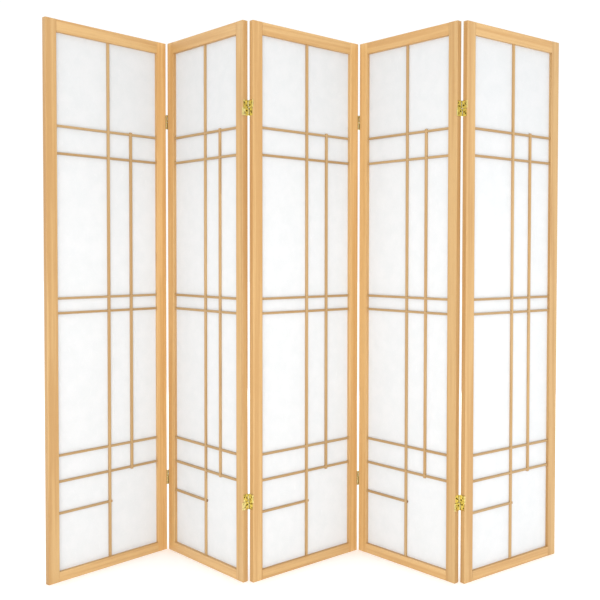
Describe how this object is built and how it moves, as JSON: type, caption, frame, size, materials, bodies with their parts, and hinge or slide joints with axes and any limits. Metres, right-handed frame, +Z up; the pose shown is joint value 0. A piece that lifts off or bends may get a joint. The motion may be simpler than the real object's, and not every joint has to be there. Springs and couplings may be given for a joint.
{
  "type": "folding shoji screen",
  "caption": "Free-standing zigzag folding room divider: timber panels with a stepped lattice over translucent paper, joined by two-way brass hinges.",
  "frame": {"origin": "on the floor, under the centre of the standing screen's outline in plan", "axes": "+Z up, +X along the zigzag from panel 1 to panel 5, +Y away from the lattice side"},
  "size_m": [1.6706, 0.3586, 1.784],
  "materials": {
    "frame_wood": "clear satin lacquer on pale softwood",
    "lattice_wood": "clear satin lacquer on pale softwood",
    "shoji_paper": "matte fibrous washi",
    "hinge_brass": "polished",
    "screw_brass": "polished"
  },
  "bodies": {
    "panel_1": {"panel_1_left_stile": "frame_wood", "panel_1_right_stile": "frame_wood", "panel_1_top_rail": "frame_wood", "panel_1_bottom_rail": "frame_wood", "panel_1_mullion": "lattice_wood", "panel_1_short_upright": "lattice_wood", "panel_1_cross_bars": "lattice_wood", "panel_1_paper": "shoji_paper", "panel_1_hinge_leaves": "hinge_brass", "panel_1_hinge_links": "hinge_brass", "panel_1_hinge_pins": "hinge_brass", "panel_1_hinge_screws": "screw_brass"},
    "panel_2": {"panel_2_left_stile": "frame_wood", "panel_2_right_stile": "frame_wood", "panel_2_top_rail": "frame_wood", "panel_2_bottom_rail": "frame_wood", "panel_2_mullion": "lattice_wood", "panel_2_short_upright": "lattice_wood", "panel_2_cross_bars": "lattice_wood", "panel_2_paper": "shoji_paper", "panel_2_hinge_leaves": "hinge_brass", "panel_2_hinge_links": "hinge_brass", "panel_2_hinge_pins": "hinge_brass", "panel_2_hinge_screws": "screw_brass"},
    "panel_3": {"panel_3_left_stile": "frame_wood", "panel_3_right_stile": "frame_wood", "panel_3_top_rail": "frame_wood", "panel_3_bottom_rail": "frame_wood", "panel_3_mullion": "lattice_wood", "panel_3_short_upright": "lattice_wood", "panel_3_cross_bars": "lattice_wood", "panel_3_paper": "shoji_paper", "panel_3_hinge_leaves": "hinge_brass", "panel_3_hinge_links": "hinge_brass", "panel_3_hinge_pins": "hinge_brass", "panel_3_hinge_screws": "screw_brass"},
    "panel_4": {"panel_4_left_stile": "frame_wood", "panel_4_right_stile": "frame_wood", "panel_4_top_rail": "frame_wood", "panel_4_bottom_rail": "frame_wood", "panel_4_mullion": "lattice_wood", "panel_4_short_upright": "lattice_wood", "panel_4_cross_bars": "lattice_wood", "panel_4_paper": "shoji_paper", "panel_4_hinge_leaves": "hinge_brass", "panel_4_hinge_links": "hinge_brass", "panel_4_hinge_pins": "hinge_brass", "panel_4_hinge_screws": "screw_brass"},
    "panel_5": {"panel_5_left_stile": "frame_wood", "panel_5_right_stile": "frame_wood", "panel_5_top_rail": "frame_wood", "panel_5_bottom_rail": "frame_wood", "panel_5_mullion": "lattice_wood", "panel_5_short_upright": "lattice_wood", "panel_5_cross_bars": "lattice_wood", "panel_5_paper": "shoji_paper", "panel_5_hinge_leaves": "hinge_brass", "panel_5_hinge_links": "hinge_brass", "panel_5_hinge_pins": "hinge_brass", "panel_5_hinge_screws": "screw_brass"}
  },
  "joints": [
    {"name": "fold_1", "type": "hinge", "parent": "panel_2", "child": "panel_1", "pos_m": [-0.53271, 0.16098, 0.892], "axis": [0, 0, 1], "range_deg": [-94.5, 83.5]},
    {"name": "fold_2", "type": "hinge", "parent": "panel_3", "child": "panel_2", "pos_m": [-0.1967, -0.13697, 0.892], "axis": [0, 0, -1], "range_deg": [-88.5, 89.5]},
    {"name": "fold_3", "type": "hinge", "parent": "panel_3", "child": "panel_4", "pos_m": [0.1419, 0.15804, 0.892], "axis": [0, 0, -1], "range_deg": [-88.5, 89.5]},
    {"name": "fold_4", "type": "hinge", "parent": "panel_4", "child": "panel_5", "pos_m": [0.47792, -0.13992, 0.892], "axis": [0, 0, 1], "range_deg": [-84, 94]}
  ],
  "couplings": [
    {"joint": "fold_3", "follows": "fold_2", "ratio": 1}
  ]
}
